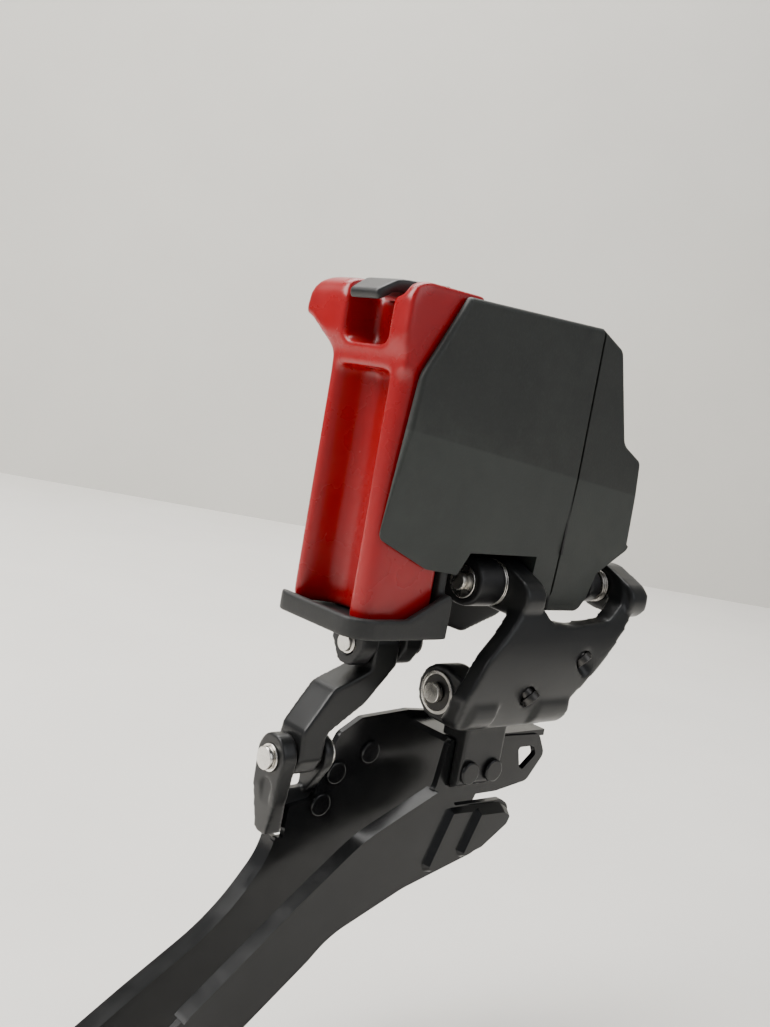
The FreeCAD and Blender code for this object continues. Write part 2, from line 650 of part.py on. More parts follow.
def drive_train():
    motor = new_body("drive_motor")
    pad(motor, "can", "YZ", [ring(MOTOR_SHAFT, size("motor_radius"))], "-28.0", 22.0)
    pad(motor, "nose", "YZ", [ring(MOTOR_SHAFT, 2.2)], "-6.1", 1.2)
    bore(motor, "shaft_hole", MOTOR_SHAFT, 0.75, "-12", 10)

    plate = new_body("gearbox_plate")
    outline = corners([(-27.2, -1.9, 1), (-16.4, -1.9), (-14.6, 6.9), (-9.8, 6.9), (-9.8, 26.0, 1), (-27.2, 26.0, 1)])
    pad(plate, "plate", "YZ", [outline], "-5.8", 1.2)
    bore(plate, "motor_hole", MOTOR_SHAFT, 2.25, "-9", 6)
    bore(plate, "shaft_hole", MIDDLE_SHAFT, 1.0, "-9", 6)

    shaft = new_body("intermediate_shaft")
    pad(shaft, "shaft", "YZ", [ring(MIDDLE_SHAFT, 0.98)], "-5.8", 11.0)

    # A tooth of the motor pinion points at the large gear, and a gap of that gear at the pinion.
    step_large = 2 * math.pi / LARGE_TEETH
    step_sector = 2 * math.pi / SECTOR_TEETH
    towards_motor = math.radians(MOTOR_ANGLE)
    towards_sector = math.radians(GEAR_ANGLE) + math.pi
    pinion = toothed(MOTOR_SHAFT, MOTOR_TEETH, towards_motor + math.pi, 0.6, 2.8)
    spindle = Part.makeCylinder(0.72, 15.4, V(-11.8, MOTOR_SHAFT[0], MOTOR_SHAFT[1]), X_AXIS)
    free_part("motor_pinion", pinion.fuse(spindle).removeSplitter())

    large = toothed(MIDDLE_SHAFT, LARGE_TEETH, towards_motor + step_large / 2, 0.6, 2.8)
    small = toothed(MIDDLE_SHAFT, SMALL_TEETH, towards_sector, -3.8, 4.5)
    hole = Part.makeCylinder(1.03, 20, V(-10, MIDDLE_SHAFT[0], MIDDLE_SHAFT[1]), X_AXIS)
    free_part("intermediate_gear", large.fuse(small).cut(hole).removeSplitter())

    # The sector's gap that faces the small gear lies on the line of centres.
    mesh = math.radians(GEAR_ANGLE)
    points = gear_outline(UPPER_OUTER, SECTOR_TEETH, mesh - 1.5 * step_sector, 0, 4)
    towards = V(0, math.sin(mesh), math.cos(mesh))
    across = V(0, math.cos(mesh), -math.sin(mesh))
    centre = V(-3.8, UPPER_OUTER[0], UPPER_OUTER[1])
    polygon = [centre - across, centre - across + towards * 8.5, centre - across * 3.0 + towards * 11.0]
    polygon += [V(-3.8, y, z) for y, z in points]
    polygon += [centre + across * 3.0 + towards * 11.0, centre + across + towards * 8.5, centre + across]
    polygon.append(polygon[0])
    arm = Part.Face(Part.makePolygon(polygon)).extrude(X_AXIS * 2.6)
    hub = Part.makeCylinder(2.75, 2.6, centre, X_AXIS)
    hub_hole = Part.makeCylinder(PIN, 4, centre - X_AXIS, X_AXIS)
    free_part("output_sector", arm.fuse(hub).cut(hub_hole).removeSplitter())


# ---------------------------------------------------------------- parallelogram

def outer_link():
    """A broad yoke: two upper legs, a crowned web with a deep gap, and two lower ears."""
    web = corners([
        (-14.5, -6.6), (-14.5, -13.0, 2), (-22.0, -20.5, 4), (-25.0, -27.5, 3), (-24.4, -33.6, 2.5), (-1.0, -33.6, 4),
        (3.5, -27.5, 5), (14.5, -15.5, 5), (19.8, -9.5, 1.5), (19.0, -6.6, 1.0), (15.0, -6.6), (14.2, -11.0, 2),
        (9.5, -14.2, 4), (0.0, -15.0, 5), (-6.4, -14.4, 3), (-10.2, -10.0, 2), (-10.8, -6.6),
    ])
    crown_radius = 26.0
    crown_y = -33.4 + crown_radius
    crown = Part.makeCylinder(crown_radius, 60, V(-35, crown_y, -21.0), X_AXIS)
    inner = Part.makeCylinder(crown_radius - 3.4, 60, V(-35, crown_y, -21.0), X_AXIS)
    slab = Part.Face(Part.Wire([line.toShape() for line in web])).extrude(Z_AXIS * 12)
    slab.rotate(V(0, 0, 0), X_AXIS, 90)
    slab.translate(V(0, -26.0, 0))
    shape = slab.common(crown).cut(inner)

    def along_x(outline, start, length):
        face = Part.Face(Part.Wire([line.toShape() for line in outline]))
        block = face.extrude(Z_AXIS * length)
        block.Placement = FreeCAD.Placement(V(start, 0, 0), FreeCAD.Rotation(V(0, 1, 0), Z_AXIS, X_AXIS, "ZXY"))
        return block

    leg = capsule(UPPER_OUTER, (-29.4, -10.6), BOSS, 3.4)
    ear = capsule(LOWER_OUTER, (-28.4, -29.6), 4.9, 4.2)
    for start, length in ((-14.5, 5.0), (15.0, 5.0)):
        shape = shape.fuse(along_x(leg, start, length))
    for start, length in ((-22.4, 5.9), (-6.0, 8.5)):
        shape = shape.fuse(along_x(ear, start, length))
    for centre, radius in ((UPPER_OUTER, PIN + 0.01), (LOWER_OUTER, BUSH_RADIUS)):
        shape = shape.cut(Part.makeCylinder(radius, 80, V(-40, centre[0], centre[1]), X_AXIS))
    swept = Part.makeCylinder(4.9, 10.9, V(-16.7, LOWER_OUTER[0], LOWER_OUTER[1]), X_AXIS)
    below = Part.makeBox(10.9, 20, 20, V(-16.7, -29.6, LOWER_OUTER[1] - 20))
    spring_room = Part.makeCylinder(3.6, 2.4, V(12.55, UPPER_OUTER[0], UPPER_OUTER[1]), X_AXIS)
    shape = shape.cut(swept).cut(below).cut(spring_room)
    for place in LIMIT_PLACES:
        shape = shape.cut(limit_bore(place))
    shape = shape.removeSplitter()
    free_part("outer_link", shape)


BUSH_RADIUS = 2.7
LIMIT_DIRECTION = V(0.42, -0.62, -0.66).normalize()
LIMIT_PLACES = {"high_limit_screw": V(-9.5, -32.4, -27.2), "low_limit_screw": V(3.0, -32.4, -20.6)}


def limit_bore(name_or_place):
    """Threaded hole and head recess of a limit screw, sunk from the lower edge of the outer link."""
    place = LIMIT_PLACES.get(name_or_place, name_or_place) if isinstance(name_or_place, str) else name_or_place
    thread = Part.makeCylinder(1.25, 12, place - LIMIT_DIRECTION * 6, LIMIT_DIRECTION)
    recess = Part.makeCylinder(1.9, 8, place, LIMIT_DIRECTION)
    return thread.fuse(recess)


def limit_screws():
    for name, place in LIMIT_PLACES.items():
        shank = Part.makeCylinder(1.2, 5.2, place - LIMIT_DIRECTION * 5.2, LIMIT_DIRECTION)
        head = Part.makeCylinder(1.7, 1.3, place + LIMIT_DIRECTION * 0.05, LIMIT_DIRECTION)
        neck = Part.makeCylinder(1.2, 0.1, place - LIMIT_DIRECTION * 0.02, LIMIT_DIRECTION)
        shape = shank.fuse([neck, head])
        socket = Part.makeCylinder(0.75, 2, place + LIMIT_DIRECTION * 0.55, LIMIT_DIRECTION)
        free_part(name, shape.cut(socket).removeSplitter())


def inner_link():
    body = new_body("inner_link")
    lean = (LOWER_INNER[0] + UPPER_INNER[0]) / 2
    side = [
        (-30.9, -19.6, 1), (-25.3, -19.6, 1), (-25.3, -26.5, 1.5), (-31.2, -33.2, 2), (-38.2, -38.0, 1.5),
        (-38.2, -46.0, 1), (-43.4, -46.0, 1), (-43.4, -37.6, 3), (-38.4, -30.4, 3), (-30.9, -27.2, 1.5),
    ]
    pad(body, "bar", "XZ", [corners(side)], str(-lean - 3.3), 6.6)
    section = [
        (UPPER_INNER[0] - 3.3, UPPER_INNER[1], 1), (UPPER_INNER[0] - 1.4, UPPER_INNER[1] + 2.7, 1.9),
        (UPPER_INNER[0] + 1.4, UPPER_INNER[1] + 2.7, 1.9), (UPPER_INNER[0] + 3.3, UPPER_INNER[1], 1),
        (LOWER_INNER[0] + 3.3, LOWER_INNER[1], 1), (LOWER_INNER[0] + 1.4, LOWER_INNER[1] - 3.2, 2.2),
        (LOWER_INNER[0] - 1.4, LOWER_INNER[1] - 3.2, 2.2), (LOWER_INNER[0] - 3.3, LOWER_INNER[1], 1),
    ]
    trim(body, "sides", "YZ", corners(section), "-60", 60)
    bore(body, "upper_hole", UPPER_INNER, PIN + FIT, "-45", 30)
    bore(body, "lower_hole", LOWER_INNER, PIN + size("open_fit"), "-60", 30)


def pivot_pins():
    turned("upper_outer_pin", UPPER_OUTER, -23.1, [(1.1, 1.45), (0.4, 1.15), (44.6, PIN), (0.6, 2.6)])
    turned("lower_outer_pin", LOWER_OUTER, -24.0, [(1.1, 1.75), (0.8, 1.35), (25.9, PIN), (0.5, 2.6)])
    turned("upper_inner_pin", UPPER_INNER, -35.9, [(0.8, 1.6), (14.9, PIN), (0.6, 2.7)])
    turned("lower_inner_pin", LOWER_INNER, -48.3, [(1.0, 1.95), (0.7, 1.45), (11.2, PIN), (0.4, 2.6)])


def rings_and_bushes():
    """Washers, retaining rings and flanged bushes of the pivots, each in the node of the body it rides on."""
    washers = [tube(4.1, PIN + 0.1, start, 0.36, UPPER_OUTER) for start in (-15.42, -14.98)]
    free_part("upper_pivot_washers", Part.makeCompound(washers))
    rear = tube(3.75, 1.42, -22.85, 0.4, LOWER_OUTER)
    free_part("lower_outer_ring", rear)
    free_part("upper_outer_ring", tube(2.9, 1.2, -21.98, 0.35, UPPER_OUTER))
    free_part("lower_inner_ring", tube(2.35, 1.5, -47.27, 0.35, LOWER_INNER))
    bushes = [
        tube(BUSH_RADIUS - 0.01, PIN + FIT, start, length, LOWER_OUTER) for start, length in ((-22.3, 5.8), (-6.0, 8.4))
    ]
    free_part("lower_pivot_bushes", Part.makeCompound(bushes))


# ---------------------------------------------------------------- cage

def lofted_rib(points, y_low, height):
    """A raised step on the outer plate, its face sloping back to the plate."""
    face = Part.Face(Part.Wire([line.toShape() for line in corners(points)]))
    face.rotate(V(0, 0, 0), X_AXIS, 90)
    face.translate(V(0, y_low, 0))
    return face.extrude(Y_AXIS * -height)


def cage_outer_plate():
    body = new_body("cage_outer_plate")
    outline = corners([
        (-17.6, -37.6, 1.5), (6.6, -38.4, 1.5), (9.0, -42.4, 1.5), (5.2, -47.4, 2), (-3.0, -48.6, 1), (-13.6, -48.6, 0.7),
        (-13.6, -50.2, 0.7), (-1.0, -50.4, 1.5), (1.8, -52.0, 2), (0.6, -55.4, 2.5), (-6.4, -60.2, 3), (-22.7, -64.2, 20),
        (-38.0, -70.0, 16), (-41.5, -73.4, 4), (-60.0, -88.0, 30), (-70.5, -93.4, 2.5), (-76.5, -91.4, 2.0),
        (-75.0, -87.2, 3), (-64.0, -77.6, 10), (-46.6, -63.2, 60), (-34.6, -53.8, 25), (-19.0, -47.0, 3),
    ])
    window = corners([(1.2, -40.6, 0.6), (5.6, -40.6, 0.6), (6.6, -42.4, 0.6), (2.8, -45.6, 0.8)])
    pad(body, "plate", "XZ", [outline], cell("outer_plate_start"), cell("plate_thickness"))
    pocket(body, "window", "XZ", [window], "20", 10)
    flange = corners([
        (-19.0, -46.7), (-34.6, -53.5, 25), (-46.6, -62.8), (-64.0, -77.2), (-64.7, -78.0), (-47.3, -63.9), (-35.0, -54.8, 24),
        (-19.0, -48.0),
    ])
    pad(body, "rolled_edge", "XZ", [flange], "22.0", 2.9)
    first_step = corners([
        (-14.8, -50.4, 1.0), (-1.2, -50.8, 1.5), (1.4, -52.2, 1.5), (0.3, -55.2, 2.2), (-6.4, -59.7, 2.6),
        (-19.8, -62.8, 1.5),
    ])
    second_step = corners([
        (-8.6, -50.9, 1.0), (-1.6, -51.2, 1.2), (0.9, -52.5, 1.2), (-0.1, -54.9, 2.0), (-6.2, -58.8, 2.0),
        (-12.6, -60.4, 1.2),
    ])
    pad(body, "first_step", "XZ", [first_step], "23.9", 1.2).TaperAngle = -STEP_TAPER
    pad(body, "second_step", "XZ", [second_step], "25.0", 1.2).TaperAngle = -STEP_TAPER
    tab = rectangle(-16.4, -38.9, 8.4, -37.7)
    pad(body, "top_bridge", "XZ", [tab], "12.05", 11.5)
    for index, (x, z) in enumerate(OUTER_RIVET_PLACES):
        pocket(body, "rivet_hole_%d" % index, "XZ", [ring((x, z), 1.3)], "20", 8)
    pocket(body, "tail_hole", "XZ", [ring(TAIL_PLACE, 1.3)], "20", 8)


STEP_TAPER = 35.0
OUTER_RIVET_PLACES = [(-14.2, -43.0), (-8.2, -43.0)]
INNER_RIVET_PLACES = [(-32.2, -46.6), (-25.0, -43.5), (-34.5, -52.2)]
TAIL_PLACE = (-71.0, -89.4)


def cage_inner_plate():
    body = new_body("cage_inner_plate")
    outline = corners([
        (-32.4, -39.6, 2), (-28.0, -37.0, 2), (-17.0, -36.2, 1.5), (7.0, -38.4, 2), (9.4, -43.5, 3), (5.0, -57.0, 6),
        (-8.0, -66.0, 20), (-26.0, -69.8, 40), (-41.0, -77.0, 60), (-58.0, -90.2, 50), (-70.5, -96.0, 3),
        (-77.4, -92.2, 2.5), (-74.5, -86.6, 4), (-66.1, -80.9, 20), (-51.0, -71.2, 38), (-43.8, -60.8, 13),
        (-43.0, -57.3, 0.8), (-41.2, -57.3), (-41.2, -52.0, 0.8), (-35.8, -51.2, 1.2),
        (-35.8, -47.4, 1.2),
    ])
    pad(body, "plate", "XZ", [outline], cell("inner_plate_start"), cell("plate_thickness"))
    flange = corners([
        (-74.5, -86.3), (-66.1, -80.6), (-51.0, -70.9, 38), (-43.6, -60.8, 13), (-43.0, -57.4), (-41.9, -57.4),
        (-42.4, -61.1, 11), (-50.2, -71.9, 36), (-65.5, -81.8), (-74.1, -87.5),
    ])
    pad(body, "rolled_edge", "XZ", [flange], "8.0", 4.0)
    for index, (x, z) in enumerate(INNER_RIVET_PLACES):
        pocket(body, "rivet_hole_%d" % index, "XZ", [ring((x, z), 1.3)], "9", 5)
    pocket(body, "tail_hole", "XZ", [ring(TAIL_PLACE, 1.3)], "5", 10)
    flat = body.Tip
    soften(body, "flange_edges", flat, 0.45, flange_edge)


def flange_edge(line, at):
    """The inboard edges of the rolled flange."""
    return abs(at.y + 8.0) < 0.02 and line.Length > 3


def cage_hinge_bracket():
    """Two lugs for the inner link, joined by a web that is riveted to the inner plate."""
    body = new_body("cage_hinge_bracket")
    lug = corners([
        (-15.8, -41.5, 3.4), (-14.0, -38.5, 3.2), (-10.0, -38.5, 3.2), (-8.2, -41.5, 3), (-8.4, -50.0, 3), (-9.0, -56.5, 1.0),
        (-12.2, -56.5, 1.0), (-14.6, -50.0, 4),
    ])
    side = corners([(-46.9, -36.0), (-46.9, -48.0), (-45.4, -57.0), (-42.0, -57.0), (-44.0, -50.0), (-44.0, -36.0)])
    pad(body, "rear_lug", "YZ", [lug], "-47.0", 5.0)
    trim(body, "rear_lug_side", "XZ", side, 0, 60)
    web = corners([(-46.0, -49.2, 1), (-37.4, -49.2, 2), (-30.5, -41.4, 1.5), (-22.0, -40.4, 1.5), (-22.0, -46.4, 2),
                   (-31.0, -54.6, 3), (-43.4, -56.6, 1)])
    pad(body, "web", "XZ", [web], "9.2", 1.6)
    front = capsule(LOWER_INNER, (-10.6, -48.5), 3.6, 1.4)
    pad(body, "front_lug", "YZ", [front], "-37.8", 1.8)
    oval = capsule((-12.0, -47.6), (-11.8, -51.2), 1.5, 1.1)
    pocket(body, "relief", "YZ", [oval], "-48", 1.55)
    bore(body, "hinge_hole", LOWER_INNER, PIN + FIT, "-60", 40)
    for index, (x, z) in enumerate(INNER_RIVET_PLACES):
        pocket(body, "rivet_hole_%d" % index, "XZ", [ring((x, z), 1.3)], "5", 8)


def cage_pivot_bracket():
    """The block between the outer link's ears, riveted to the upper tab of the outer plate."""
    body = new_body("cage_pivot_bracket")
    block = corners([
        (-27.4, -28.9, 3.0), (-25.4, -25.0, 3.0), (-21.4, -25.0, 3.0), (-19.6, -28.9, 3.0), (-20.6, -35.6, 2),
        (-20.6, -37.6), (-24.05, -37.6), (-24.05, -46.6), (-26.4, -45.2, 1), (-26.6, -35.6, 3),
    ])
    pad(body, "block", "YZ", [block], "-16.3", 10.1)
    bore(body, "hinge_hole", LOWER_OUTER, PIN + FIT, "-30", 40)
    for index, (x, z) in enumerate(OUTER_RIVET_PLACES):
        pocket(body, "rivet_hole_%d" % index, "XZ", [ring((x, z), 1.3)], "21", 8)


def rivet(place, start, length):
    """A dome-headed rivet along Y; start is its inboard end, outboard of the mount face."""
    x, z = place
    shank = Part.makeCylinder(1.29, length, V(x, -start, z), V(0, -1, 0))
    head = Part.makeCylinder(2.1, 0.7, V(x, -start - length, z), V(0, -1, 0))
    rim = [edge for edge in head.Edges if abs(edge.BoundBox.YMin + start + length + 0.7) < 0.01
           and abs(edge.BoundBox.YMax + start + length + 0.7) < 0.01]
    return shank.fuse(head.makeFillet(0.4, rim))


def cage_fasteners():
    outer = [rivet(place, 22.8, 3.8) for place in OUTER_RIVET_PLACES]
    inner = [rivet(place, 9.2, 2.8) for place in INNER_RIVET_PLACES]
    free_part("cage_rivets", Part.makeCompound(outer + inner))
    x, z = TAIL_PLACE
    spacer = Part.makeCylinder(2.6, 10.8, V(x, -12.0, z), V(0, -1, 0))
    free_part("cage_tail_spacer", spacer.cut(Part.makeCylinder(1.35, 14, V(x, -10.0, z), V(0, -1, 0))))
    shank = Part.makeCylinder(1.27, 15.4, V(x, -9.4, z), V(0, -1, 0))
    head = Part.makeCylinder(2.3, 1.3, V(x, -24.0, z), V(0, -1, 0))
    socket = Part.makeCylinder(1.0, 2, V(x, -24.5, z), V(0, -1, 0))
    free_part("cage_tail_screw", shank.fuse(head).cut(socket).removeSplitter())


# ---------------------------------------------------------------- build, check and write

main_housing()
front_cover()
cover_gasket()
cover_screws()
base_bracket()
support_bolt()
battery_tray()
tray_screws()
battery_block()
battery_latch()
latch_pin()
springs()
latch_spring()
contacts()
circuit_board()
function_button()
status_lens()
drive_train()
outer_link()
limit_screws()
inner_link()
pivot_pins()
rings_and_bushes()
cage_outer_plate()
cage_inner_plate()
cage_hinge_bracket()
cage_pivot_bracket()
cage_fasteners()
doc.recompute()

faults = []
for item in doc.Objects:
    if "Invalid" in item.State or "Error" in item.State:
        faults.append("%s: %s" % (item.Name, item.State))
for item in finished:
    if item.Shape.isNull() or not item.Shape.isValid():
        faults.append("%s: shape is null or not valid" % item.Label)
if faults:
    raise RuntimeError("; ".join(faults))

os.makedirs("parts", exist_ok=True)
for item in finished:
    box = item.Shape.BoundBox
    print("%-22s solids %d  volume %9.2f  x %.1f..%.1f  y %.1f..%.1f  z %.1f..%.1f" % (
        item.Label, len(item.Shape.Solids), item.Shape.Volume,
        box.XMin, box.XMax, box.YMin, box.YMax, box.ZMin, box.ZMax))
    item.Shape.exportStep("parts/%s.step" % item.Label)
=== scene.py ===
"""The visual model of an electric front derailleur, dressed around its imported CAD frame."""

import json
import math

import bpy
from mathutils import Matrix, Vector


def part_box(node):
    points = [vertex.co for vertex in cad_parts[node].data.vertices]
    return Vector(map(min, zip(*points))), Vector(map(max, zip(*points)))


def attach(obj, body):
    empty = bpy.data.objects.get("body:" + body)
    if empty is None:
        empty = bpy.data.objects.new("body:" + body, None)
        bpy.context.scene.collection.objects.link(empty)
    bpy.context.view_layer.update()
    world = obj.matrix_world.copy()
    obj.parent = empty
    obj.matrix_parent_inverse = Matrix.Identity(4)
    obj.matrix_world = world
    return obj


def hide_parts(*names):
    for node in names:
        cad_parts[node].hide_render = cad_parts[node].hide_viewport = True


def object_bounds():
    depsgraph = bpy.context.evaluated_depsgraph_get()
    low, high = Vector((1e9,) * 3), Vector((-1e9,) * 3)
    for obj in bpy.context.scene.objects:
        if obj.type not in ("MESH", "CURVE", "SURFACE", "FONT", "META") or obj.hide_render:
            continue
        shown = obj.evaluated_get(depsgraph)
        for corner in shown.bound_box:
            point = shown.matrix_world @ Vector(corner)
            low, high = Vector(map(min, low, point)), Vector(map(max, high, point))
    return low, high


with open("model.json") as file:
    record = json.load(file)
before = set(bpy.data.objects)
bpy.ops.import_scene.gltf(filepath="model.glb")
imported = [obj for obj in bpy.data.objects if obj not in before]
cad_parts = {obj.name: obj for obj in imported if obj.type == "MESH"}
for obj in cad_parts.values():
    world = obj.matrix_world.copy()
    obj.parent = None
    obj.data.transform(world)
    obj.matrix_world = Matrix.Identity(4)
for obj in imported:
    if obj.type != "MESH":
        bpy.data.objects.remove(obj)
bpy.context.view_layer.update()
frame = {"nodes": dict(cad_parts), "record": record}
NODES = frame["nodes"]
MM = 0.001


# --- materials ---------------------------------------------------------------------------------


class Shader:
    """One procedural material: a Principled shader and the nodes that feed it."""

    def __init__(self, name):
        self.material = bpy.data.materials.new(name)
        self.material.use_nodes = True
        self.tree = self.material.node_tree
        self.tree.nodes.clear()
        self.output = self.add("ShaderNodeOutputMaterial")
        self.surface = self.add("ShaderNodeBsdfPrincipled")
        self.link(self.surface.outputs[0], self.output.inputs["Surface"])
        self.place = self.add("ShaderNodeTexCoord").outputs["Object"]
        self.height = None

    def add(self, kind, **settings):
        node = self.tree.nodes.new(kind)
        for key, value in settings.items():
            setattr(node, key, value)
        return node

    def link(self, source, target):
        self.tree.links.new(source, target)

    def stretched(self, scale):
        mapping = self.add("ShaderNodeMapping")
        mapping.inputs["Scale"].default_value = scale
        self.link(self.place, mapping.inputs["Vector"])
        return mapping.outputs[0]

    def noise(self, scale, detail=3.0, roughness=0.55, stretch=(1, 1, 1)):
        node = self.add("ShaderNodeTexNoise")
        node.inputs["Scale"].default_value = scale
        node.inputs["Detail"].default_value = detail
        node.inputs["Roughness"].default_value = roughness
        self.link(self.stretched(stretch), node.inputs["Vector"])
        return node.outputs[0]

    def cells(self, scale):
        node = self.add("ShaderNodeTexVoronoi")
        node.inputs["Scale"].default_value = scale
        self.link(self.place, node.inputs["Vector"])
        return node.outputs["Distance"]

    def between(self, factor, low, high, start=0.3, end=0.7):
        """A number from low to high as factor goes from start to end."""
        node = self.add("ShaderNodeMapRange")
        node.inputs["From Min"].default_value = start
        node.inputs["From Max"].default_value = end
        node.inputs["To Min"].default_value = low
        node.inputs["To Max"].default_value = high
        self.link(factor, node.inputs["Value"])
        return node.outputs[0]

    def ramp(self, factor, stops):
        node = self.add("ShaderNodeValToRGB")
        elements = node.color_ramp.elements
        while len(elements) < len(stops):
            elements.new(0.5)
        for element, (position, colour) in zip(elements, stops):
            element.position = position
            element.color = (*colour, 1)
        self.link(factor, node.inputs[0])
        return node.outputs[0]

    def edge_wear(self):
        """From 0 on flat faces to 1 on convex edges."""
        node = self.add("ShaderNodeNewGeometry")
        return self.between(node.outputs["Pointiness"], 0.0, 1.0, 0.52, 0.62)

    def table_bounce_mask(self, height, slope, face_y):
        """From 0 to 1 below a sloping line on the drive-side face; it masks the painted bounce light, a
        painted highlight on the lower facet.
        """
        split = self.add("ShaderNodeSeparateXYZ")
        self.link(self.place, split.inputs[0])
        lean = self.add("ShaderNodeMath", operation="MULTIPLY_ADD")
        lean.inputs[1].default_value = -slope
        self.link(split.outputs["X"], lean.inputs[0])
        self.link(split.outputs["Z"], lean.inputs[2])
        low = self.between(lean.outputs[0], 1.0, 0.0, height - 0.0002, height + 0.0002)
        outer = self.between(split.outputs["Y"], 1.0, 0.0, face_y + 0.002, face_y + 0.004)
        patchy = self.between(self.noise(55, 4), 0.45, 0.8)
        return self.times(self.times(low, outer), patchy)

    def mixed(self, factor, first, second):
        node = self.add("ShaderNodeMix", data_type="RGBA")
        self.link(factor, node.inputs[0])
        for socket, value in ((node.inputs[6], first), (node.inputs[7], second)):
            if isinstance(value, tuple):
                socket.default_value = (*value, 1)
            else:
                self.link(value, socket)
        return node.outputs[2]

    def times(self, first, second):
        node = self.add("ShaderNodeMath", operation="MULTIPLY")
        self.link(first, node.inputs[0])
        self.link(second, node.inputs[1])
        return node.outputs[0]

    def bump(self, height, strength, distance):
        node = self.add("ShaderNodeBump")
        node.inputs["Strength"].default_value = strength
        node.inputs["Distance"].default_value = distance
        self.link(height, node.inputs["Height"])
        if self.height is not None:
            self.link(self.height, node.inputs["Normal"])
        self.height = node.outputs[0]
        self.link(self.height, self.surface.inputs["Normal"])

    def set(self, **values):
        for key, value in values.items():
            self.surface.inputs[key.replace("_", " ")].default_value = value

    def colour(self, source):
        self.link(source, self.surface.inputs["Base Color"])

    def rough(self, source):
        self.link(source, self.surface.inputs["Roughness"])


def shade(colour, factor):
    return tuple(min(1.0, channel * factor) for channel in colour)


def moulded_plastic(name, colour, rough, grain, depth, facet=None):
    """A moulded plastic with a spark-eroded grain; under the facet's upper edge it is painted paler, a
    painted highlight standing in for the table's bounce light.
    """
    look = Shader(name)
    cloud = look.noise(90, 4)
    speck = look.noise(grain * 0.6, 2)
    tone = look.mixed(look.between(cloud, 0, 1), shade(colour, 0.82), shade(colour, 1.18))
    dust_and_bounce_light = look.mixed(look.between(speck, 0, 0.3, 0.5, 0.75), tone, shade(colour, 2.0))
    # painted highlight: the lower facet, which tilts down towards the table, is painted paler in place of the
    # table's bounce light
    if facet:
        low = look.table_bounce_mask(*facet)
        dust_and_bounce_light = look.mixed(low, dust_and_bounce_light, shade(colour, 2.6))
    worn = look.times(look.edge_wear(), look.between(look.noise(400, 3), 0.0, 0.5))
    look.colour(look.mixed(worn, dust_and_bounce_light, shade(colour, 2.6)))
    look.rough(look.between(cloud, rough - 0.05, rough + 0.08))
    look.bump(look.cells(grain), 0.35, depth)
    look.bump(look.noise(grain * 2.2, 2), 0.3, depth * 0.6)
    look.set(Specular_IOR_Level=0.45)
    return look


def gloss_paint(name, colour, rough, coat):
    """A smooth glossy piece with faint handling marks."""
    look = Shader(name)
    cloud = look.noise(60, 3)
    smear = look.noise(140, 4, 0.5)
    tone = look.mixed(look.between(cloud, 0, 1), shade(colour, 0.88), shade(colour, 1.1))
    look.colour(tone)
    look.rough(look.between(smear, rough - 0.04, rough + 0.08))
    look.bump(look.noise(1500, 2), 0.05, 0.00001)
    look.set(Coat_Weight=coat, Coat_Roughness=0.12, Specular_IOR_Level=0.5)
    return look


def forged_metal(name, colour, rough, metallic, grain=1400.0, depth=0.00002, wear=2.5):
    """A coated or bare metal: fine blasted grain, uneven sheen, brighter on its edges."""
    look = Shader(name)
    cloud = look.noise(70, 4)
    fine = look.noise(grain, 3)
    tone = look.mixed(look.between(cloud, 0, 1), shade(colour, 0.85), shade(colour, 1.15))
    worn = look.times(look.edge_wear(), look.between(look.noise(350, 4), 0.0, 0.4))
    look.colour(look.mixed(worn, tone, shade(colour, wear)))
    look.rough(look.between(look.noise(220, 5), rough - 0.04, rough + 0.06))
    look.bump(fine, 0.2, depth)
    look.set(Metallic=metallic, Specular_IOR_Level=0.5)
    return look


def turned_metal(name, colour, rough):
    """A machined or drawn metal with fine tool marks round its axis."""
    look = Shader(name)
    marks = look.noise(2600, 2, 0.5, (1, 0.12, 0.12))
    cloud = look.noise(150, 4)
    tone = look.mixed(look.between(cloud, 0, 1), shade(colour, 0.8), shade(colour, 1.1))
    look.colour(tone)
    look.rough(look.between(marks, rough - 0.05, rough + 0.12))
    look.bump(marks, 0.3, 0.00001)
    look.set(Metallic=1.0)
    return look


def soft_rubber(name, colour):
    look = Shader(name)
    cloud = look.noise(200, 4)
    look.colour(look.mixed(look.between(cloud, 0, 1), shade(colour, 0.75), shade(colour, 1.3)))
    look.rough(look.between(look.noise(700, 3), 0.6, 0.8))
    look.bump(look.noise(1800, 3), 0.3, 0.00002)
    return look


def circuit_resin(name, colour):
    """Solder mask over fine tracks."""
    look = Shader(name)
    tracks = look.add("ShaderNodeTexBrick")
    tracks.inputs["Scale"].default_value = 320
    tracks.inputs["Color1"].default_value = (*shade(colour, 0.7), 1)
    tracks.inputs["Color2"].default_value = (*shade(colour, 1.2), 1)
    tracks.inputs["Mortar"].default_value = (*shade(colour, 1.9), 1)
    look.link(look.place, tracks.inputs["Vector"])
    look.colour(tracks.outputs["Color"])
    look.rough(look.between(look.noise(500, 3), 0.25, 0.4))
    look.bump(look.noise(900, 3), 0.2, 0.00002)
    return look


def clear_plastic(name, colour):
    look = Shader(name)
    look.colour(look.mixed(look.between(look.noise(300, 3), 0, 1), shade(colour, 0.9), colour))
    look.rough(look.between(look.noise(600, 3), 0.08, 0.2))
    look.set(Transmission_Weight=0.6, IOR=1.5)
    return look


# The drive-side face's lower facet, painted paler as painted bounce light from the table: its upper edge's
# height and slope, and the face's place in Y.
BOUNCE_LIT_FACET = (0.0105, -0.10, -0.029)

